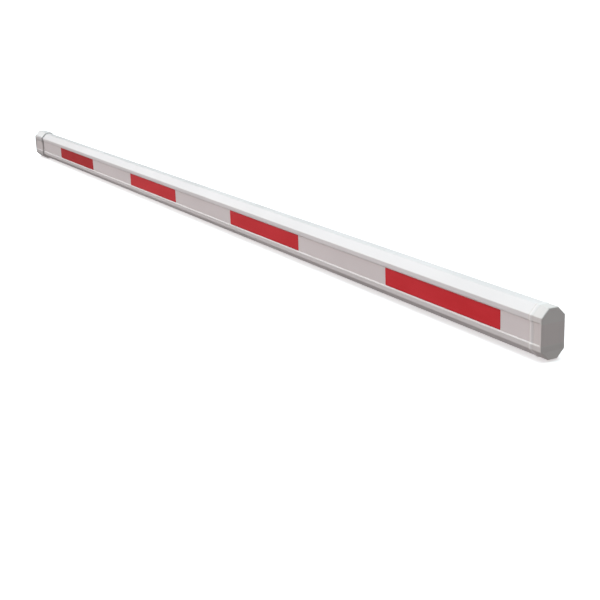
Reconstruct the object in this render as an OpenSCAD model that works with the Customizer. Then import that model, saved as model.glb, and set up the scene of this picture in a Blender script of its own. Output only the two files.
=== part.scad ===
// Eight-sided aluminium barrier boom with a flush tip cap, a butt sleeve and red reflective strips.
// X runs along the boom from the butt end face (x = 0) to the tip, Y across it, Z up.
// The section is centred on the X axis.

/* [Boom profile] */
// Overall length, from the butt end face to the tip end face
boom_len = 3000; // [2800:10:4000]
// Width of the section, side to side
section_w = 50; // [44:1:70]
// Height of the section
section_h = 90; // [80:1:120]
// Leg of the 45 degree corner chamfers
chamfer = 15.5; // [8:0.5:17]
// Radius of the long outer edges
edge_r = 2.5; // [1:0.1:4]
// Wall thickness of the extrusion
wall = 2; // [1.5:0.1:2.6]
// Thickness of the two internal webs
web_t = 1.8; // [1.2:0.1:2.6]
// Height of the middle chamber, between the two webs
chamber_h = 35; // [26:1:37]

/* [Side recess] */
// Height of the flat floor of the recess
recess_h = 37; // [28:1:44]
// Depth of the recess
recess_depth = 2; // [1:0.1:2.8]
// Radius of the recess's ridge and foot edges
recess_r = 0.8; // [0.4:0.1:1.2]

/* [Reflective strips] */
// Number of red strips on each side
strip_count = 4; // [1:1:4]
// Length of a strip
strip_len = 367; // [150:1:450]
// Distance from the start of one strip to the start of the next
strip_pitch = 735; // [460:1:780]
// Distance from the tip end face to the first strip
strip_start = 110; // [60:1:160]
// Thickness of the strip
strip_t = 0.5; // [0.3:0.1:1]
// Bare recess floor left above and below a strip
strip_margin = 0.5; // [0.2:0.1:3]
// Radius of a strip's corners
strip_corner_r = 1.5; // [0.5:0.5:5]

/* [Tip cap] */
// Length of the tip cap outside the profile, end plate included
tip_len = 34; // [20:1:60]
// How far the plug reaches into the profile
tip_plug_len = 22; // [10:1:40]
// How much thicker the cap's wall is than the profile's
tip_extra_wall = 0.5; // [0.5:0.1:2]
// Width of the bead around the joint with the profile
bead_w = 8; // [3:0.5:12]
// How far the bead stands proud of the cap
bead_proud = 1.2; // [0.4:0.1:1.5]

/* [Butt sleeve] */
// Length of the butt sleeve, end plate included
butt_len = 90; // [80:1:140]
// How far the sleeve stands proud of the profile
butt_proud = 4; // [1.5:0.1:5]
// How far the plug reaches into the insert
butt_plug_len = 24; // [10:1:30]

/* [Both caps] */
// Thickness of the flat end plate
end_plate_t = 4; // [3:0.1:6]
// Radius around the end plate's outer face
end_plate_r = 2; // [1:0.1:2.5]
// Wall thickness of the plug
plug_wall = 2.5; // [1.5:0.1:4]

/* [Butt insert] */
// Length of the stiffening insert
insert_len = 260; // [120:1:400]
// Wall thickness of the insert
insert_wall = 3; // [2:0.1:4]
// Radius of the insert's outer edges
insert_edge_r = 2; // [0.5:0.5:3]

/* [Rivets] */
// Diameter of the rivet's shank
rivet_d = 4.8; // [3.2:0.1:6.4]
// Diameter of the countersunk head
rivet_head_d = 8; // [7:0.1:10]
// Depth of the countersunk head
rivet_head_h = 1.2; // [0.8:0.1:1.4]
// Diameter of the formed end inside the insert
rivet_bulb_d = 7.5; // [7:0.1:10]
// Length of the formed end
rivet_bulb_len = 4; // [2:0.5:6]
// Distance from the butt end face to the first rivet
rivet_first = 45; // [40:1:50]
// Distance between the two rivets of a side
rivet_pitch = 25; // [12:1:30]

/* [Clearances] */
// Gap between the butt sleeve and the profile
skirt_gap = 0.2; // [0.1:0.05:0.4]
// Gap around the plugs and the insert
slip_gap = 0.2; // [0.1:0.05:0.4]
// Radial gap around a rivet
rivet_gap = 0.05; // [0.02:0.01:0.1]

/* [Hidden] */
$fn = 48;
arc_steps = 4;                      // straight runs in each rounded edge
overrun = 1;                        // how far a cutter runs past the solid it cuts
inner_r = 0.5;                      // least radius of the long edges inside the profile
half_w = section_w / 2;
half_h = section_h / 2;
profile_start = end_plate_t;
profile_len = boom_len - end_plate_t - tip_len;
chamber_w = section_w - 2 * (recess_depth + wall);
insert_w = chamber_w - 2 * slip_gap;
insert_h = chamber_h - 2 * slip_gap;
strip_h = recess_h - 2 * strip_margin;
front = -1;                         // the -Y side
back = 1;                           // the +Y side

strip_names = [for (side = ["front", "back"], i = [1:strip_count]) str(side, "_strip_", i)];

// ---------- plane geometry of the section ----------

function unit(v) = v / norm(v);

// The rounded corner p of a path that comes from a and goes on to b.
function corner(a, p, b, r) =
    let (
        u = unit(a - p),
        v = unit(b - p),
        half = acos(u * v) / 2,
        centre = p + unit(u + v) * r / sin(half),
        first = p + u * r / tan(half) - centre,
        turn = sign(cross(p - a, b - p)) * (180 - 2 * half),
        start = atan2(first.y, first.x)
    )
    [for (i = [0:arc_steps]) centre + r * [cos(start + turn * i / arc_steps), sin(start + turn * i / arc_steps)]];

// A closed path of [point, radius] pairs with every corner rounded.
function rounded(path) =
    let (n = len(path))
    [for (i = [0:n - 1], q = corner(path[(i + n - 1) % n][0], path[i][0], path[(i + 1) % n][0], path[i][1])) q];

// Mirror the quarter path (y > 0, z > 0) into a whole section, anticlockwise.
function four_quarters(quarter) =
    let (reversed = [for (i = [len(quarter) - 1:-1:0]) quarter[i]])
    concat(
        [for (q = quarter) [[q[0].x, q[0].y], q[1]]],
        [for (q = reversed) [[-q[0].x, q[0].y], q[1]]],
        [for (q = quarter) [[-q[0].x, -q[0].y], q[1]]],
        [for (q = reversed) [[q[0].x, -q[0].y], q[1]]]
    );

// Octagon grown outwards by grow.
function octagon(grow, r) =
    let (slide = grow * tan(22.5))
    four_quarters([
        [[half_w + grow, half_h - chamfer + slide], r],
        [[half_w - chamfer + slide, half_h + grow], r]
    ]);

// The same octagon with the recess along each side.
function recessed(grow, r, small_r) =
    let (slide = grow * tan(22.5), foot_z = recess_h / 2 - slide)
    four_quarters([
        [[half_w - recess_depth + grow, foot_z], small_r],
        [[half_w + grow, foot_z + recess_depth], small_r],
        [[half_w + grow, half_h - chamfer + slide], r],
        [[half_w - chamfer + slide, half_h + grow], r]
    ]);

// ---------- shared shapes ----------

// Extrude a section along X from x to x + length.
module along_x(x, length) {
    translate([x, 0, 0]) rotate([90, 0, 90]) linear_extrude(length) children();
}

module recessed_section(grow) {
    polygon(rounded(recessed(grow, max(edge_r + grow, inner_r), recess_r)));
}

module box_section(w, h, r) {
    polygon(rounded(four_quarters([[[w / 2, h / 2], r]])));
}

// A slab as thick as across, lying square to its own Y, whose two edges at x = 0 are rounded.
module edge_rounding_slab(across, thickness) {
    reach = section_w + section_h;
    translate([0, 0, -reach])
        linear_extrude(2 * reach)
            polygon(concat(
                corner([thickness, -across / 2], [0, -across / 2], [0, 0], end_plate_r),
                corner([0, 0], [0, across / 2], [thickness, across / 2], end_plate_r),
                [[thickness, across / 2], [thickness, -across / 2]]
            ));
}

// The flat plate that closes a cap: outer face at x = 0, rounded all round.
module end_plate(proud) {
    across_w = section_w + 2 * proud;
    across_h = section_h + 2 * proud;
    across_corner = (section_w + section_h - 2 * chamfer) / sqrt(2) + 2 * proud;
    intersection() {
        along_x(0, end_plate_t) polygon(rounded(octagon(proud, edge_r + proud)));
        edge_rounding_slab(across_w, end_plate_t);
        rotate([90, 0, 0]) edge_rounding_slab(across_h, end_plate_t);
        for (tilt = [45, -45]) rotate([tilt, 0, 0]) edge_rounding_slab(across_corner, end_plate_t);
    }
}

// A tube of the boom's section between two outlines, outer_grow and inner_grow out from the profile.
module section_tube(x, length, outer_grow, inner_grow) {
    along_x(x, length) difference() {
        recessed_section(outer_grow);
        recessed_section(inner_grow);
    }
}

// A cap's hollow plug, from its end plate to x = reach.
module plug(w, h, reach) {
    along_x(end_plate_t, reach - end_plate_t) difference() {
        box_section(w, h, insert_edge_r);
        box_section(w - 2 * plug_wall, h - 2 * plug_wall, recess_r);
    }
}

// Put children at each rivet's place, with their Z axis pointing out of the side.
module at_rivets() {
    for (side = [front, back], i = [0, 1])
        translate([rivet_first + i * rivet_pitch, side * (half_w - recess_depth), 0])
            rotate([-side * 90, 0, 0])
                children();
}

// Countersunk shank, grown by grow on every radius, from the recess floor inwards.
module rivet_stem(length, grow) {
    translate([0, 0, -length]) cylinder(d = rivet_d + 2 * grow, h = length);
    translate([0, 0, -rivet_head_h])
        cylinder(d1 = rivet_d + 2 * grow, d2 = rivet_head_d + 2 * grow, h = rivet_head_h);
}

// ---------- the pieces ----------

module boom_profile() {
    color("white") difference() {
        along_x(profile_start, profile_len) difference() {
            recessed_section(0);
            difference() {
                recessed_section(-wall);
                for (side = [-1, 1])
                    translate([0, side * (chamber_h + web_t) / 2]) square([section_w, web_t], center = true);
            }
        }
        at_rivets() rivet_stem(wall + slip_gap + overrun, rivet_gap);
    }
}

module tip_cap() {
    inside = -(wall + tip_extra_wall);
    color("whitesmoke") translate([boom_len, 0, 0]) mirror([1, 0, 0]) {
        end_plate(0);
        section_tube(end_plate_t, tip_len - end_plate_t, 0, inside);
        section_tube(tip_len - bead_w, bead_w, bead_proud, inside);
        plug(insert_w, insert_h, tip_len + tip_plug_len);
    }
}

module butt_sleeve() {
    thinner = 2 * (insert_wall + slip_gap);
    color("whitesmoke") {
        end_plate(butt_proud);
        section_tube(end_plate_t, butt_len - end_plate_t, butt_proud, skirt_gap);
        plug(insert_w - thinner, insert_h - thinner, end_plate_t + butt_plug_len);
    }
}

module butt_insert() {
    color("silver") difference() {
        along_x(profile_start, insert_len) difference() {
            box_section(insert_w, insert_h, insert_edge_r);
            box_section(insert_w - 2 * insert_wall, insert_h - 2 * insert_wall, recess_r);
        }
        at_rivets() rivet_stem(wall + slip_gap + insert_wall + overrun, rivet_gap);
    }
}

module insert_rivets() {
    grip = wall + slip_gap + insert_wall;
    color("darkgray") at_rivets() {
        rivet_stem(grip, 0);
        translate([0, 0, -grip - rivet_bulb_len]) cylinder(d = rivet_bulb_d, h = rivet_bulb_len);
    }
}

// Strip i, counted from the tip, on one side of the boom.
module red_strip(side, i) {
    x_end = boom_len - strip_start - (i - 1) * strip_pitch;
    color("crimson")
        translate([x_end - strip_len / 2, side * (half_w - recess_depth), 0])
            rotate([-side * 90, 0, 0])
                linear_extrude(strip_t) box_section(strip_len, strip_h, strip_corner_r);
}

boom_profile();
tip_cap();
butt_sleeve();
butt_insert();
insert_rivets();
for (i = [1:strip_count]) {
    red_strip(front, i);
    red_strip(back, i);
}
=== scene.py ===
"""Looks of the barrier boom: meshes with true edge radii, procedural materials, studio and camera.

Every length is in metres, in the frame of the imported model: X runs along the boom from the butt end face
to the tip, Y across it with the front at -Y, and Z up.
"""

import math

import bmesh
import bpy
from mathutils import Matrix, Vector


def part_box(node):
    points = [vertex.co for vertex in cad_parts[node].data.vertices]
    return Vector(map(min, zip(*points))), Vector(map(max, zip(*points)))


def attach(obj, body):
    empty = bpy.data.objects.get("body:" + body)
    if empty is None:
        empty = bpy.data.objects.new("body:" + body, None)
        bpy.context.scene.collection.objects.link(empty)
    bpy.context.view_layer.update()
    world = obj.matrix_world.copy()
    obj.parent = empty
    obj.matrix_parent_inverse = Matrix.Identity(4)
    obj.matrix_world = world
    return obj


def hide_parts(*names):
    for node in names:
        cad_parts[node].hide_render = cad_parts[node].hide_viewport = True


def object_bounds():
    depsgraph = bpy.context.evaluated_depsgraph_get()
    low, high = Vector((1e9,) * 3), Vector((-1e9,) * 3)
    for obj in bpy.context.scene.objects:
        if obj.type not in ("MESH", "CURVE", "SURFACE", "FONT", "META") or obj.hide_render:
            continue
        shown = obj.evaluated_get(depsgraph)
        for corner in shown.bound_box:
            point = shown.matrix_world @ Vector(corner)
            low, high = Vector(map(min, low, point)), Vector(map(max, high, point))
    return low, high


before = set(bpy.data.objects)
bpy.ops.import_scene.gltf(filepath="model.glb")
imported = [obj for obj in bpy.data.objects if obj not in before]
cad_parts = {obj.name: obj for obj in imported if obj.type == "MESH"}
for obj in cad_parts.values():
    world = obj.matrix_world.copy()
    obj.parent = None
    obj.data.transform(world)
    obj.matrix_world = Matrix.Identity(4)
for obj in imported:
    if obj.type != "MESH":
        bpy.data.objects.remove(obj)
cad_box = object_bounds()
MM = 0.001

# ---------------------------------------------------------------- sizes from the frame

BUTT_X = 0.0
TIP_X = cad_box[1][0]
FLOOR_Z = cad_box[0][2]
PROFILE_LOW, PROFILE_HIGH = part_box("boom_profile")
HALF_W = PROFILE_HIGH[1]
HALF_H = PROFILE_HIGH[2]
JOINT_X = PROFILE_HIGH[0]
TIP_LEN = TIP_X - JOINT_X
TIP_REACH = TIP_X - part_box("tip_cap")[0][0]
SLEEVE_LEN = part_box("butt_sleeve")[1][0]
BUTT_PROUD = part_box("butt_sleeve")[1][1] - HALF_W
BEAD_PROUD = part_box("tip_cap")[1][1] - HALF_W
END_PLATE_T = PROFILE_LOW[0]
STRIPS = [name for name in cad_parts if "strip" in name]
STRIP_HALF_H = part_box(STRIPS[0])[1][2]
RIVETS_LOW, RIVETS_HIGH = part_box("insert_rivets")
RIVET_HEAD_R = 4 * MM
RIVET_PLACES = (RIVETS_LOW[0] + RIVET_HEAD_R, RIVETS_HIGH[0] - RIVET_HEAD_R)

# ---------------------------------------------------------------- sizes of the design

CHAMFER = 15.5 * MM
CHAMFER_Z = HALF_H - CHAMFER        # where the chamfers meet the sides
CORNER_SLIDE = math.tan(math.radians(22.5))     # slide of a chamfer's corner for each unit of growth
EDGE_R = 2.5 * MM
LEAST_R = 0.5 * MM                  # of those edges, where the section is shrunk
WALL = 2 * MM
WEB_T = 1.8 * MM
CHAMBER_H = 35 * MM
INNER_R = 0.6 * MM                  # in the middle chamber's corners
RECESS_H = 37 * MM
RECESS_DEPTH = 2 * MM
RECESS_R = 0.8 * MM
RECESS_FOOT = (HALF_W - RECESS_DEPTH, RECESS_H / 2)

END_PLATE_R = 2 * MM
PLATE_STEP = 0.5 * MM               # run of the step from a plate's rim into the recess
TIP_WALL = 2.5 * MM
BEAD_W = 8 * MM
BEAD_RUN = 1.6 * BEAD_W             # length of the bead's soft rise and fall, which ends at the joint
SLEEVE_LIP_R = 1 * MM               # outside edge of the sleeve's mouth
LIP_R = 0.3 * MM                    # lead-ins of the sleeve's mouth and of the plugs
FIT_GAP = 0.2 * MM
PLUG_WALL = 2.5 * MM
PLUG_EDGE_R = 2 * MM
PLUG_BORE_R = 0.8 * MM
PLUG_CLEAR = 0.5 * MM               # between the tip cap's plug and the hollows beside it
BUTT_REACH = 28 * MM                # of the butt plug, from the end face
INSERT_WALL = 3 * MM

STRIP_T = 0.5 * MM
STRIP_CORNER_R = 1.5 * MM
STRIP_SOFT = 0.2 * MM               # of a strip's rim
HOLE_D = 4.9 * MM                   # a rivet's hole
SINK_D = 8.1 * MM                   # the countersink's mouth
SINK_DEPTH = 1.2 * MM
HOLE_PATCH = 6 * MM                 # half the length of the flat patch around a hole

ARC_STEPS = 8                       # straight runs in each rounded corner
HOLE_STEPS = 32                     # straight runs around a rivet's hole
BEAD_STEPS = 24                     # rings along the bead
FLOOR_STEPS = 96                    # straight runs around the floor
STRAIGHT = 1e-4                     # a turn below this, in radians, counts as none
SMOOTH_BELOW = math.radians(30)     # creases blunter than this are shaded smooth

# ---------------------------------------------------------------- colours

COAT_PALE = (0.832, 0.815, 0.812)
COAT_DULL = (0.800, 0.785, 0.782)
# painted shade with a pink cast of bounced red light, for the recess floors
COAT_RECESS_SHADE = (0.790, 0.700, 0.695)
# painted shade near the butt
COAT_BUTT_SHADE = (0.60, 0.58, 0.575)
COAT_SPECK = (0.55, 0.52, 0.50)
COAT_RUBBED = (0.62, 0.60, 0.59)
DUST = (0.50, 0.46, 0.43)
# painted shade on the lower ridges
LOWER_RIDGE_SHADE = (0.62, 0.59, 0.575)
# painted shade on the lower chamfers and underside
LOWER_CHAMFER_SHADE = (0.51, 0.49, 0.485)
TIP_WHITE = (0.755, 0.735, 0.715)
SLEEVE_WHITE = (0.77, 0.76, 0.75)
# painted shade with a pink cast of bounced red light, for the caps' recess floors
PLASTIC_RECESS_SHADE = (0.740, 0.670, 0.660)
PLASTIC_SCUFF = (0.50, 0.48, 0.46)
# painted highlight on the tip cap's bead
BEAD_HIGHLIGHT = (0.90, 0.885, 0.88)
FILM_PALE = (0.780, 0.042, 0.054)
FILM_DULL = (0.730, 0.034, 0.044)
FILM_BEADS = (0.45, 0.014, 0.020)
# painted shade on the film near the butt
FILM_BUTT_SHADE = (0.50, 0.008, 0.012)
# painted shade along the film's long edges
FILM_EDGE_SHADE = (0.42, 0.030, 0.040)
INSERT_METAL = (0.80, 0.81, 0.82)
RIVET_METAL = (0.70, 0.71, 0.72)
FLOOR_PALE = (0.945, 0.96, 0.965)
FLOOR_DULL = (0.93, 0.945, 0.95)
PLAIN_WHITE = (1.0, 1.0, 1.0, 1.0)

CLOUDS = (0.3, 0.7)                 # the part of a noise's range that shows as soft clouds or lines
LOWER_EDGE = (-CHAMFER_Z - 1.5 * MM, -CHAMFER_Z + 0.5 * MM)     # heights that part chamfer and side
BUTT_SHADE_RUN = (0.1, 1.0)          # along X, from full painted shade near the butt to none
LOWER_SHADE_RUN = (1.2, 3.2)          # along X, from no painted shade to the full shade, which lies past the tip
FILM_SHADE_RUN = (0.6, 0.9)           # along X, from the film's full painted shade near the butt to none

# ---------------------------------------------------------------- floor and light

FLOOR_RINGS = (                     # radius, height
    (4, 0), (15, 0), (20, 0.2), (30, 1.2), (60, 6.0), (80, 14), (95, 45),
)
GLOW_NEAR = 0.35                    # the floor's glow up to the first of these distances
GLOW_FAR = 1.0                      # and from the second
GLOW_RANGE = (4.0, 14.0)

WARM = (1.08, 1.0, 1.0)
COOL = (1.01, 1.16, 1.19)
AMBIENT = 0.268
LOBES = (                           # towards, sharpness, tint, strength
    ((0, 0, 1), 8.0, COOL, 3.45),                   # bright ceiling
    ((-0.757, -0.575, 0.308), 14.0, WARM, 4.49),    # lamp in front of the butt
    ((1, 0, 0), 1.0, WARM, -0.195),                 # dimmer beyond the tip
    ((-1, 0, 0), 2.0, WARM, -0.5),                  # dimmer beyond the butt
    ((0, 0, -1), 4.0, WARM, 0.5),                   # a little from below
    ((0, 1, -0.05), 4.0, WARM, 0.95),               # fill from behind
)


# ---------------------------------------------------------------- plane geometry

def corner(a, p, b, radius):
    """The rounded corner p of a path that comes from a and goes on to b, as ARC_STEPS + 1 points."""
    back, ahead = (a - p).normalized(), (b - p).normalized()
    turn = math.atan2((-back).cross(ahead), (-back).dot(ahead))
    if abs(turn) < STRAIGHT:
        reach = radius / 2
        return [p + ahead * reach * (2 * i / ARC_STEPS - 1) for i in range(ARC_STEPS + 1)]
    run = radius * math.tan(abs(turn) / 2)
    centre = p + (back + ahead).normalized() * radius / math.cos(turn / 2)
    first = p + back * run - centre
    return [centre + Matrix.Rotation(turn * i / ARC_STEPS, 2) @ first for i in range(ARC_STEPS + 1)]


def rounded(path):
    """A closed path of (point, radius) pairs with every corner rounded."""
    points = []
    for i, (p, radius) in enumerate(path):
        points += corner(path[i - 1][0], p, path[(i + 1) % len(path)][0], radius)
    return points


def four_quarters(quarter):
    """A whole section, anticlockwise, from the corners of its y > 0, z > 0 quarter."""
    path = []
    for sy, sz in ((1, 1), (-1, 1), (-1, -1), (1, -1)):
        ordered = quarter if sy * sz > 0 else quarter[::-1]
        path += [(Vector((sy * p[0], sz * p[1])), radius) for p, radius in ordered]
    return path


def section(grow, depth=RECESS_DEPTH):
    """The boom's section grown outwards by grow, with a recess of that depth along each side."""
    slide = grow * CORNER_SLIDE
    foot_z = RECESS_H / 2 - slide
    edge_r = max(EDGE_R + grow, LEAST_R)
    return rounded(four_quarters([
        ((HALF_W - depth + grow, foot_z), RECESS_R),
        ((HALF_W + grow, foot_z + RECESS_DEPTH), RECESS_R),
        ((HALF_W + grow, CHAMFER_Z + slide), edge_r),
        ((HALF_W - CHAMFER + slide, HALF_H + grow), edge_r),
    ]))


def box_section(width, height, radius):
    return rounded(four_quarters([((width / 2, height / 2), radius)]))


def circle(radius, steps):
    turns = [2 * math.pi * i / steps for i in range(steps)]
    return [Vector((radius * math.cos(turn), radius * math.sin(turn))) for turn in turns]


# ---------------------------------------------------------------- mesh building

def ring(bm, x, points):
    return [bm.verts.new((x, p.x, p.y)) for p in points]


def join_rings(bm, a, b):
    for i in range(len(a)):
        bm.faces.new((a[i - 1], a[i], b[i], b[i - 1]))


def loft(bm, rings):
    """Walls through a list of (x, points); gives back the first and last loops of vertices."""
    loops = [ring(bm, x, points) for x, points in rings]
    for a, b in zip(loops, loops[1:]):
        join_rings(bm, a, b)
    return loops[0], loops[-1]


def fill(bm, *loops):
    """A flat face bounded by the first loop, with the other loops as holes in it."""
    if len(loops) == 1:
        bm.faces.new(loops[0])
        return
    edges = []
    for loop in loops:
        for i in range(len(loop)):
            edges.append(bm.edges.get((loop[i - 1], loop[i])))
    bmesh.ops.triangle_fill(bm, use_beauty=True, edges=edges)


def make_object(name, bm, material):
    """Turns a bmesh into a smooth-shaded object in the scene."""
    bmesh.ops.recalc_face_normals(bm, faces=bm.faces)
    mesh = bpy.data.meshes.new(name)
    bm.to_mesh(mesh)
    bm.free()
    mesh.polygons.foreach_set("use_smooth", [True] * len(mesh.polygons))
    mesh.materials.append(material)
    made = bpy.data.objects.new(name, mesh)
    bpy.context.scene.collection.objects.link(made)
    return made


def make_piece(name, bm, material, slot, *nodes):
    """Turns a bmesh into a piece with clean creases that rides on the boom and stands for CAD nodes."""
    piece = make_object(name, bm, material)
    piece.data.set_sharp_from_angle(angle=SMOOTH_BELOW)
    weighted = piece.modifiers.new("even_flats", "WEIGHTED_NORMAL")
    weighted.keep_sharp = True
    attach(piece, "root")
    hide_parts(*nodes)


def hollows(wall, floor_z):
    """Outlines of the hollows above floor_z and below -floor_z inside the section's wall."""
    inner_w = HALF_W - RECESS_DEPTH - wall
    roof = [p for p in section(-wall) if p.y > floor_z]
    upper = [Vector((inner_w, floor_z)), *roof, Vector((-inner_w, floor_z))]
    lower = [Vector((p.x, -p.y)) for p in reversed(upper)]
    return upper, lower


def chambers():
    """Outlines of the three hollows inside the extrusion."""
    inner_w = HALF_W - RECESS_DEPTH - WALL
    middle = box_section(2 * inner_w, CHAMBER_H, INNER_R)
    return (*hollows(WALL, CHAMBER_H / 2 + WEB_T), middle)


def rivet_hole(bm, x, side):
    """A countersunk hole through the recess floor, on the front (side -1) or the back (side 1)."""
    loops = []
    for depth, diameter in ((0, SINK_D), (SINK_DEPTH, HOLE_D), (WALL, HOLE_D)):
        y = side * (HALF_W - RECESS_DEPTH - depth)
        loops.append([bm.verts.new((x + p.x, y, p.y)) for p in circle(diameter / 2, HOLE_STEPS)])
    for a, b in zip(loops, loops[1:]):
        join_rings(bm, a, b)
    for mouth in (loops[0], loops[-1]):
        middle = Vector((x, mouth[0].co.y, 0))
        wall = min(bm.faces, key=lambda face: (face.calc_center_median() - middle).length)
        rim = list(wall.verts)
        bmesh.ops.delete(bm, geom=[wall], context="FACES_ONLY")
        fill(bm, rim, mouth)


def build_profile(material):
    """The extrusion, with rings beside the rivets so that each hole has a flat patch of its own."""
    bm = bmesh.new()
    around = [x + reach for x in RIVET_PLACES for reach in (-HOLE_PATCH, HOLE_PATCH)]
    stations = [PROFILE_LOW[0], *around, PROFILE_HIGH[0]]
    walls = [loft(bm, [(x, outline) for x in stations]) for outline in (section(0), *chambers())]
    for end in (0, 1):
        fill(bm, *[pair[end] for pair in walls])
    for x in RIVET_PLACES:
        for side in (-1, 1):
            rivet_hole(bm, x, side)
    make_piece("profile_shell", bm, material, "white_coated_aluminium", "boom_profile")


def plate_rim(proud):
    """(distance from the outer face, growth, recess depth) around an end plate and into the recess."""
    rim = []
    for i in range(ARC_STEPS + 1):
        angle = math.pi / 2 * i / ARC_STEPS
        rim.append((END_PLATE_R * (1 - math.cos(angle)), proud - END_PLATE_R * (1 - math.sin(angle)), 0))
    rim.append((END_PLATE_T, proud, 0))
    rim.append((END_PLATE_T + PLATE_STEP, proud, RECESS_DEPTH))
    return rim


def tip_cap_outside():
    """The plate, the flush body and the bead, a soft wave that ends at the joint."""
    rings = plate_rim(0)
    for i in range(BEAD_STEPS + 1):
        share = i / BEAD_STEPS
        rise = BEAD_PROUD * (1 - math.cos(2 * math.pi * share)) / 2
        rings.append((TIP_LEN - BEAD_RUN * (1 - share), rise, RECESS_DEPTH))
    return rings


def sleeve_outside():
    """The plate and the thick sleeve, whose mouth has a rounded lip."""
    rings = plate_rim(BUTT_PROUD)
    for i in range(ARC_STEPS + 1):
        angle = math.pi / 2 * i / ARC_STEPS
        x = SLEEVE_LEN - SLEEVE_LIP_R * (1 - math.sin(angle))
        rings.append((x, BUTT_PROUD - SLEEVE_LIP_R * (1 - math.cos(angle)), RECESS_DEPTH))
    return rings


def sleeve_inside():
    """From the mouth back to the end plate, with the gap around the profile."""
    return [
        (SLEEVE_LEN, FIT_GAP + LIP_R, RECESS_DEPTH),
        (SLEEVE_LEN - LIP_R, FIT_GAP, RECESS_DEPTH),
        (END_PLATE_T, FIT_GAP, RECESS_DEPTH),
    ]


def build_cap(name, material, node, place, walls, cavities, plug):
    """A cap of the boom.

    place is its outer face's x and the way inwards from there, +1 or -1. walls runs over its surface to
    the plug's root. cavities are outlines of hollows beside the plug, and plug is the plug's width, height
    and reach.
    """
    face_x, inward = place
    plug_w, plug_h, reach = plug
    bore_w, bore_h = plug_w - 2 * PLUG_WALL, plug_h - 2 * PLUG_WALL

    def at(distance):
        return face_x + inward * distance

    bm = bmesh.new()
    face, seat = loft(bm, [(at(x), section(grow, depth)) for x, grow, depth in walls])
    root_x = at(walls[-1][0])
    root, bore = loft(bm, [
        (root_x, box_section(plug_w, plug_h, PLUG_EDGE_R)),
        (at(reach - LIP_R), box_section(plug_w, plug_h, PLUG_EDGE_R)),
        (at(reach), box_section(plug_w - 2 * LIP_R, plug_h - 2 * LIP_R, PLUG_EDGE_R)),
        (at(reach), box_section(bore_w, bore_h, PLUG_BORE_R)),
        (at(END_PLATE_T), box_section(bore_w, bore_h, PLUG_BORE_R)),
    ])
    mouths = []
    for outline in cavities:
        mouth, end = loft(bm, [(root_x, outline), (at(END_PLATE_T), outline)])
        fill(bm, end)
        mouths.append(mouth)
    fill(bm, face)
    fill(bm, seat, root, *mouths)
    fill(bm, bore)
    make_piece(name, bm, material, "white_cap_plastic", node)


def build_strip(node, material):
    """A film strip with its rim and corners softened."""
    low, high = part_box(node)
    side = 1 if low[1] > 0 else -1
    floor_y = low[1] if side > 0 else high[1]
    centre_x = (low[0] + high[0]) / 2
    length, height = high[0] - low[0], high[2] - low[2]
    half_soft = 0.3 * STRIP_SOFT
    bm = bmesh.new()
    loops = []
    for rise, inset in (
        (0, 0),
        (STRIP_T - STRIP_SOFT, 0),
        (STRIP_T - half_soft, half_soft),
        (STRIP_T, STRIP_SOFT),
    ):
        outline = box_section(length - 2 * inset, height - 2 * inset, STRIP_CORNER_R)
        loops.append([bm.verts.new((centre_x + p.x, floor_y + side * rise, p.y)) for p in outline])
    for a, b in zip(loops, loops[1:]):
        join_rings(bm, a, b)
    fill(bm, loops[0])
    fill(bm, loops[-1])
    make_piece(node.replace("strip", "film"), bm, material, "red_reflective_film", node)


# ---------------------------------------------------------------- materials

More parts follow.
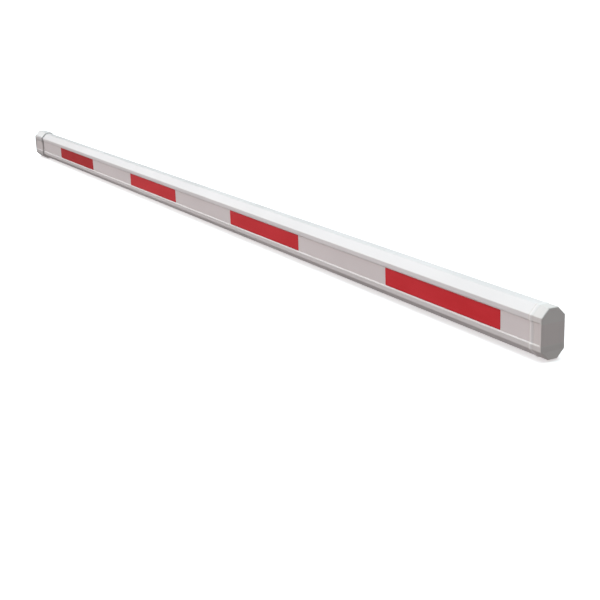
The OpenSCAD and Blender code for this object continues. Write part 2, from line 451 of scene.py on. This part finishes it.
class Shader:
    """A material's node tree, with short calls for the nodes used here."""

    def __init__(self, name, roughness, specular=0.5, metallic=0.0):
        self.material = bpy.data.materials.new(name)
        self.material.use_nodes = True
        self.tree = self.material.node_tree
        self.surface = self.tree.nodes["Principled BSDF"]
        self.surface.inputs["Roughness"].default_value = roughness
        self.surface.inputs["Specular IOR Level"].default_value = specular
        self.surface.inputs["Metallic"].default_value = metallic
        self.place = self.add("ShaderNodeTexCoord").outputs["Object"]
        split = self.add("ShaderNodeSeparateXYZ", Vector=self.place)
        self.x, self.y, self.z = split.outputs

    def add(self, kind, settings=None, **values):
        """A new node with these settings, and these values or links on its inputs."""
        node = self.tree.nodes.new(kind)
        for key, value in (settings or {}).items():
            setattr(node, key, value)
        for key, value in values.items():
            self.put(node.inputs[key], value)
        return node

    def put(self, socket, value):
        """Links value to socket if it is a socket itself, and sets it there if it isn't."""
        if isinstance(value, bpy.types.NodeSocket):
            self.tree.links.new(value, socket)
        else:
            socket.default_value = value

    def math(self, operation, *values):
        node = self.add("ShaderNodeMath", {"operation": operation})
        for socket, value in zip(node.inputs, values):
            self.put(socket, value)
        return node.outputs[0]

    def length(self, a, b):
        """The length of a line that runs a one way and b across it."""
        squared = self.math("ADD", self.math("MULTIPLY", a, a), self.math("MULTIPLY", b, b))
        return self.math("SQRT", squared)

    def stretch(self, x, y, z):
        """The piece's own coordinates, scaled along each axis."""
        node = self.add("ShaderNodeVectorMath", {"operation": "MULTIPLY"})
        self.put(node.inputs[0], self.place)
        node.inputs[1].default_value = (x, y, z)
        return node.outputs[0]

    def noise(self, scale, detail=2.0, roughness=0.5, where=None):
        node = self.add("ShaderNodeTexNoise", Scale=scale, Detail=detail, Roughness=roughness,
                        Vector=where or self.place)
        return node.outputs["Fac"]

    def ramp(self, value, low, high, to_low=0.0, to_high=1.0):
        """A smooth run from to_low, where value is low or less, to to_high, where it is high or more."""
        node = self.add("ShaderNodeMapRange", {"interpolation_type": "SMOOTHSTEP"}, Value=value)
        keys = ("From Min", "From Max", "To Min", "To Max")
        for key, number in zip(keys, (low, high, to_low, to_high)):
            node.inputs[key].default_value = number
        return node.outputs["Result"]

    def fade(self, value, low, high):
        """1 where value is low or less, 0 where it is high or more."""
        return self.ramp(value, low, high, 1.0, 0.0)

    def mix(self, amount, a, b):
        """Colour a, going over to colour b as amount goes from 0 to 1."""
        node = self.add("ShaderNodeMix", {"data_type": "RGBA"})
        self.put(node.inputs["Factor"], amount)
        for socket, value in ((node.inputs[6], a), (node.inputs[7], b)):
            self.put(socket, (*value, 1.0) if isinstance(value, tuple) else value)
        return node.outputs[2]

    def cover(self, base, mask, amount, tone):
        """The base colour with tone laid over it, by that amount where mask is 1."""
        return self.mix(self.math("MULTIPLY", mask, amount), base, tone)

    def colour(self, value):
        self.put(self.surface.inputs["Base Color"], value)

    def roughness(self, value):
        self.put(self.surface.inputs["Roughness"], value)

    def bump(self, *layers):
        """layers are (height in metres, value from 0 to 1)."""
        total = None
        for height, value in layers:
            part = self.math("MULTIPLY", value, height)
            total = part if total is None else self.math("ADD", total, part)
        node = self.add("ShaderNodeBump", Strength=1.0, Distance=1.0, Height=total)
        self.put(self.surface.inputs["Normal"], node.outputs[0])


def long_edges(proud=0.0):
    """Where the section's outer edges run, as (|y|, |z|), on a surface that stands that far proud."""
    slide = proud * CORNER_SLIDE
    return (HALF_W + proud, CHAMFER_Z + slide), (HALF_W - CHAMFER + slide, HALF_H + proud)


def near_edges(shader, edges, reach):
    """1 on the long edges at these (|y|, |z|) places, falling to 0 at that reach."""
    across = shader.math("ABSOLUTE", shader.y)
    up = shader.math("ABSOLUTE", shader.z)
    nearest = None
    for y, z in edges:
        distance = shader.length(shader.math("SUBTRACT", across, y), shader.math("SUBTRACT", up, z))
        nearest = distance if nearest is None else shader.math("MINIMUM", nearest, distance)
    return shader.fade(nearest, 0.0, reach)


def patches(shader, edges, reach, noise, low, high):
    """Patches along these edges: none where noise is below low, full where it is above high."""
    return shader.math("MULTIPLY", near_edges(shader, edges, reach), shader.ramp(noise, low, high))


def recess_floor(shader):
    """1 over the height of the two side recesses' floors, 0 above and below it."""
    from_middle = shader.math("ABSOLUTE", shader.z)
    return shader.fade(from_middle, RECESS_H / 2 - 0.3 * MM, RECESS_H / 2 + 0.5 * MM)


def lower_ridge_shade(shader):
    """Painted shade on the lower ridges: 1 between the recess and the chamfer, 0 elsewhere."""
    below_recess = shader.fade(shader.z, -0.5 * HALF_H, -0.4 * HALF_H)
    above_chamfer = shader.ramp(shader.z, *LOWER_EDGE)
    return shader.math("MULTIPLY", below_recess, above_chamfer)


def underside_shade(shader):
    """Painted shade on the lower chamfers and the underside, darker towards the tip but not on its face.
    """
    below_edge = shader.fade(shader.z, *LOWER_EDGE)
    film = shader.math("MULTIPLY", below_edge, shader.ramp(shader.x, *LOWER_SHADE_RUN))
    off_face = shader.fade(shader.x, TIP_X - 2 * MM, TIP_X - 0.5 * MM)
    return shader.math("MULTIPLY", film, off_face)


def butt_shade(shader):
    """Painted shade near the butt: 0 over most of the boom, rising to 1 over its last metre before the
    butt.
    """
    return shader.fade(shader.x, *BUTT_SHADE_RUN)


def bead_highlight(shader):
    """1 along the crest of the tip cap's bead and just past it towards the tip, where a highlight is
    painted; 0 elsewhere.
    """
    middle = JOINT_X + 0.58 * BEAD_RUN
    from_middle = shader.math("ABSOLUTE", shader.math("SUBTRACT", shader.x, middle))
    return shader.fade(from_middle, 0.12 * BEAD_RUN, 0.42 * BEAD_RUN)


def powder_coat():
    """White polyester powder coat on the extrusion.

    It has orange peel, faint die lines, specks, dust at the recesses' feet and rubbed edges, and painted
    shade on the recess floors, the lower ridges, the lower chamfers and underside, and the stretch near
    the butt.
    """
    s = Shader("white_powder_coat", roughness=0.42, specular=0.45)
    cloud = s.noise(scale=5.0, detail=4.0, roughness=0.55, where=s.stretch(1, 3, 3))
    specks = s.ramp(s.noise(scale=420.0, roughness=0.6), 0.70, 0.78)
    dust = patches(s, [RECESS_FOOT], 3 * MM, s.noise(scale=60.0, detail=3.0), 0.35, 0.75)
    wear = s.noise(scale=130.0, detail=4.0, roughness=0.65)
    rub = patches(s, long_edges(), 1.6 * MM, wear, 0.55, 0.72)

    base = s.mix(s.ramp(cloud, *CLOUDS), COAT_DULL, COAT_PALE)
    # painted shade with a pink cast of bounced red light on the recess floors
    base = s.cover(base, recess_floor(s), 0.5, COAT_RECESS_SHADE)
    # painted shade on the lower ridges
    base = s.cover(base, lower_ridge_shade(s), 0.45, LOWER_RIDGE_SHADE)
    # painted shade on the lower chamfers and underside, darker towards the tip
    base = s.cover(base, underside_shade(s), 0.6, LOWER_CHAMFER_SHADE)
    # painted shade near the butt
    base = s.cover(base, butt_shade(s), 0.36, COAT_BUTT_SHADE)
    base = s.cover(base, specks, 0.18, COAT_SPECK)
    base = s.cover(base, dust, 0.30, DUST)
    s.colour(s.cover(base, rub, 0.25, COAT_RUBBED))
    s.roughness(s.math("ADD", s.ramp(cloud, *CLOUDS, 0.36, 0.46), s.math("MULTIPLY", dust, 0.2)))

    grain = s.noise(scale=900.0, detail=1.0)
    die_lines = s.noise(scale=1.0, roughness=0.6, where=s.stretch(1.5, 900, 900))
    orange_peel = s.noise(scale=350.0, detail=1.0)
    s.bump((0.012 * MM, grain), (0.006 * MM, die_lines), (0.02 * MM, orange_peel))
    return s.material


def moulded_plastic(name, pale, side_shade, proud):
    """White cap plastic, with fine spark-eroded grain and scuffs on the outer corners.

    The argument after pale is the share of pale that the cap's side faces take as painted shade, and proud
    is how far the cap stands out from the extrusion. Shade is also painted low down and in the recesses,
    and a highlight on the bead.
    """
    s = Shader(name, roughness=0.5, specular=0.4)
    cloud = s.noise(scale=18.0, detail=3.0)
    dull = tuple(0.955 * c for c in pale)
    shaded_sides = tuple(side_shade * c for c in pale)
    on_shaded_side = s.ramp(s.math("ABSOLUTE", s.y), HALF_W + proud - 4 * MM, HALF_W + proud - 2.5 * MM)
    wear = s.noise(scale=160.0, detail=5.0, roughness=0.7)
    scuff = patches(s, long_edges(proud), 2.5 * MM, wear, 0.56, 0.70)

    base = s.mix(s.ramp(cloud, *CLOUDS), dull, pale)
    # the side faces darker by the given share: painted shade
    base = s.cover(base, on_shaded_side, 0.9, shaded_sides)
    # painted shade with a pink cast of bounced red light on the recess floors
    base = s.cover(base, recess_floor(s), 0.5, PLASTIC_RECESS_SHADE)
    # painted shade on the lower ridges
    base = s.cover(base, lower_ridge_shade(s), 0.35, LOWER_RIDGE_SHADE)
    # painted shade on the lower chamfers and underside, darker towards the tip
    base = s.cover(base, underside_shade(s), 0.6, LOWER_CHAMFER_SHADE)
    # painted highlight along the bead
    base = s.cover(base, bead_highlight(s), 0.8, BEAD_HIGHLIGHT)
    s.colour(s.cover(base, scuff, 0.3, PLASTIC_SCUFF))
    s.roughness(s.math("ADD", s.ramp(cloud, *CLOUDS, 0.44, 0.54), s.math("MULTIPLY", scuff, 0.15)))

    grain = s.noise(scale=1400.0, roughness=0.6)
    s.bump((0.02 * MM, grain), (0.05 * MM, s.noise(scale=45.0, detail=1.0)))
    return s.material


def reflective_film():
    """Red glass-bead film: fine beads, a little colour drift, painted shade along the long edges and near
    the butt.
    """
    s = Shader("red_reflective_film", roughness=0.45, specular=0.1)
    cloud = s.noise(scale=9.0, detail=3.0, where=s.stretch(1, 2, 4))
    grain = s.add("ShaderNodeTexVoronoi", {"feature": "F1"}, Vector=s.place, Scale=1500.0)
    beads = grain.outputs["Distance"]
    film_butt_shade = s.fade(s.x, *FILM_SHADE_RUN)
    # mask for the painted shade along the film's long edges
    rim = s.ramp(s.math("ABSOLUTE", s.z), STRIP_HALF_H - 2.4 * MM, STRIP_HALF_H - 0.6 * MM)

    base = s.mix(s.ramp(cloud, *CLOUDS), FILM_DULL, FILM_PALE)
    base = s.cover(base, s.ramp(beads, 0.25, 0.55), 0.15, FILM_BEADS)
    # painted shade near the butt
    base = s.cover(base, film_butt_shade, 0.9, FILM_BUTT_SHADE)
    # painted shade along the long edges
    s.colour(s.cover(base, rim, 0.55, FILM_EDGE_SHADE))
    s.roughness(s.ramp(cloud, *CLOUDS, 0.32, 0.42))
    s.bump((0.02 * MM, s.ramp(beads, 0.1, 0.6)), (0.08 * MM, s.noise(scale=30.0, detail=1.0)))
    return s.material


def drawn_aluminium(name, tone):
    """Bare aluminium with lines along the direction it was drawn in."""
    s = Shader(name, roughness=0.38, metallic=1.0)
    lines = s.noise(scale=1.0, detail=3.0, roughness=0.6, where=s.stretch(6, 1400, 1400))
    cloud = s.noise(scale=40.0, detail=3.0)
    dark = tuple(0.8 * c for c in tone)
    s.colour(s.mix(s.ramp(lines, *CLOUDS), dark, tone))
    s.roughness(s.ramp(cloud, *CLOUDS, 0.32, 0.48))
    s.bump((0.01 * MM, lines))
    return s.material


# ---------------------------------------------------------------- studio

def floor_white():
    """Pale grey-white that glows: faintly around the boom, fully in the distance."""
    s = Shader("pale_floor", roughness=0.9, specular=0.0)
    s.colour(s.mix(s.noise(scale=0.8), FLOOR_DULL, FLOOR_PALE))
    s.put(s.surface.inputs["Emission Color"], PLAIN_WHITE)
    glow = s.ramp(s.length(s.x, s.y), *GLOW_RANGE, GLOW_NEAR, GLOW_FAR)
    s.put(s.surface.inputs["Emission Strength"], glow)
    return s.material


def build_floor():
    """A large pale floor that the boom lies on, rising far away into a studio sweep.

    It takes a light contact shadow from the boom and throws no light on it, so the underside stays dim.
    """
    bm = bmesh.new()
    loops = []
    for radius, height in FLOOR_RINGS:
        loops.append([bm.verts.new((p.x, p.y, height)) for p in circle(radius, FLOOR_STEPS)])
    for a, b in zip(loops, loops[1:]):
        join_rings(bm, a, b)
    fill(bm, loops[0])
    floor = make_object("floor", bm, floor_white())
    floor.location = (TIP_X / 2, 0, FLOOR_Z)
    floor.visible_diffuse = False
    floor.visible_glossy = False
    floor.visible_shadow = False


def build_light():
    """Soft studio light from the whole sky: an even ambient light plus the lobes, never below zero."""
    world = bpy.data.worlds.new("studio")
    bpy.context.scene.world = world
    world.use_nodes = True
    tree = world.node_tree
    place = tree.nodes.new("ShaderNodeTexCoord").outputs["Generated"]

    def node(kind, operation, *values):
        made = tree.nodes.new(kind)
        made.operation = operation
        for socket, value in zip(made.inputs, values):
            if isinstance(value, bpy.types.NodeSocket):
                tree.links.new(value, socket)
            else:
                socket.default_value = value
        return made

    def lobe(direction, sharpness, tint, strength):
        """Light of one tint, strongest in that direction; a negative strength takes light away."""
        dot = node("ShaderNodeVectorMath", "DOT_PRODUCT", place, Vector(direction).normalized())
        facing = node("ShaderNodeMath", "MAXIMUM", dot.outputs["Value"], 0.0)
        shape = node("ShaderNodeMath", "POWER", facing.outputs[0], sharpness)
        tinted = node("ShaderNodeVectorMath", "SCALE", Vector(tint) * strength)
        tree.links.new(shape.outputs[0], tinted.inputs["Scale"])
        return tinted.outputs["Vector"]

    light = Vector(WARM) * AMBIENT
    for towards, sharpness, tint, strength in LOBES:
        part = lobe(towards, sharpness, tint, strength)
        light = node("ShaderNodeVectorMath", "ADD", light, part).outputs["Vector"]
    lit = node("ShaderNodeVectorMath", "MAXIMUM", light, (0, 0, 0))
    tree.links.new(lit.outputs["Vector"], tree.nodes["Background"].inputs["Color"])


def build_camera():
    """The photograph's view: beyond the tip, in front and a little above, looking back along the boom."""
    beyond_tip, in_front, above = 1.3733, 1.1875, 0.5729
    yaw, pitch, roll = (math.radians(angle) for angle in (62.33, 15.77, -2.18))
    level = Vector((math.cos(yaw), math.sin(yaw), 0))
    forward = Vector((
        -math.sin(yaw) * math.cos(pitch),
        math.cos(yaw) * math.cos(pitch),
        -math.sin(pitch),
    ))
    upright = level.cross(forward)
    right = level * math.cos(roll) + upright * math.sin(roll)
    up = upright * math.cos(roll) - level * math.sin(roll)
    data = bpy.data.cameras.new("camera")
    data.sensor_width = 36.0
    data.lens = 67.8
    data.clip_end = 200.0
    camera = bpy.data.objects.new("camera", data)
    turn = Matrix((right, up, -forward)).transposed()
    camera.matrix_world = Matrix.Translation((TIP_X + beyond_tip, -in_front, above)) @ turn.to_4x4()
    bpy.context.scene.collection.objects.link(camera)
    bpy.context.scene.camera = camera


# ---------------------------------------------------------------- the boom

def dress(node, material):
    """Gives a CAD node that stays as it is a better material."""
    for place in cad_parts[node].material_slots:
        place.link = "OBJECT"
        place.material = material


def build_caps():
    """The tip cap and the butt sleeve, whose plugs fit the middle chamber and the insert in it."""
    chamber_w = 2 * (HALF_W - RECESS_DEPTH - WALL - FIT_GAP)
    chamber_h = CHAMBER_H - 2 * FIT_GAP
    inside_insert = 2 * (INSERT_WALL + FIT_GAP)
    tip_plastic = moulded_plastic("tip_cap_plastic", TIP_WHITE, side_shade=1.0, proud=0.0)
    build_cap("tip_cap_shell", tip_plastic, "tip_cap", (TIP_X, -1), tip_cap_outside(),
              hollows(TIP_WALL, chamber_h / 2 + PLUG_CLEAR), (chamber_w, chamber_h, TIP_REACH))
    # the sleeve's side faces take painted shade
    sleeve_plastic = moulded_plastic("sleeve_plastic", SLEEVE_WHITE, side_shade=0.68, proud=BUTT_PROUD)
    build_cap("butt_sleeve_shell", sleeve_plastic, "butt_sleeve", (BUTT_X, 1),
              sleeve_outside() + sleeve_inside(),
              (), (chamber_w - inside_insert, chamber_h - inside_insert, BUTT_REACH))


build_camera()
build_light()
build_floor()
bpy.context.scene.view_settings.view_transform = "Standard"

build_profile(powder_coat())
build_caps()
film = reflective_film()
for name in STRIPS:
    build_strip(name, film)
dress("butt_insert", drawn_aluminium("drawn_aluminium", INSERT_METAL))
dress("insert_rivets", drawn_aluminium("rivet_aluminium", RIVET_METAL))
